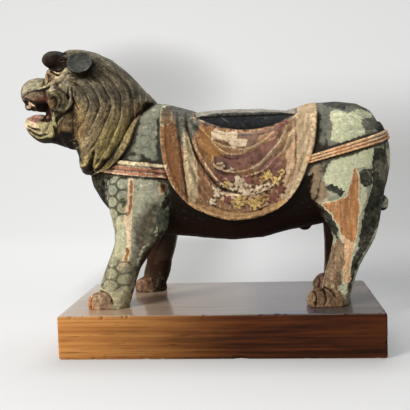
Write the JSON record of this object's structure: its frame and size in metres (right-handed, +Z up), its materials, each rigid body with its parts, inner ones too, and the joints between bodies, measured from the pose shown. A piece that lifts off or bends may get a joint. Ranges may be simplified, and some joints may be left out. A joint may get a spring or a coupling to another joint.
{
  "type": "carved wooden lion figure",
  "caption": "Carved and painted wooden lion standing with open mouth, combed mane, harness straps and swagged saddle cloth, on a plain hardwood plinth.",
  "frame": {"origin": "middle of the plinth's underside", "axes": "+Z up, -X the way the lion faces, +Y towards its right side"},
  "size_m": [0.5472, 0.23, 0.4392],
  "materials": {
    "painted_wood": "worn celadon, slate grey, maroon and gilt paint over gesso and bare brown wood, mostly matt",
    "mahogany": "varnished dark hardwood with a soft sheen"
  },
  "bodies": {
    "root": {"lion": "painted_wood", "plinth": "mahogany"}
  },
  "joints": []
}
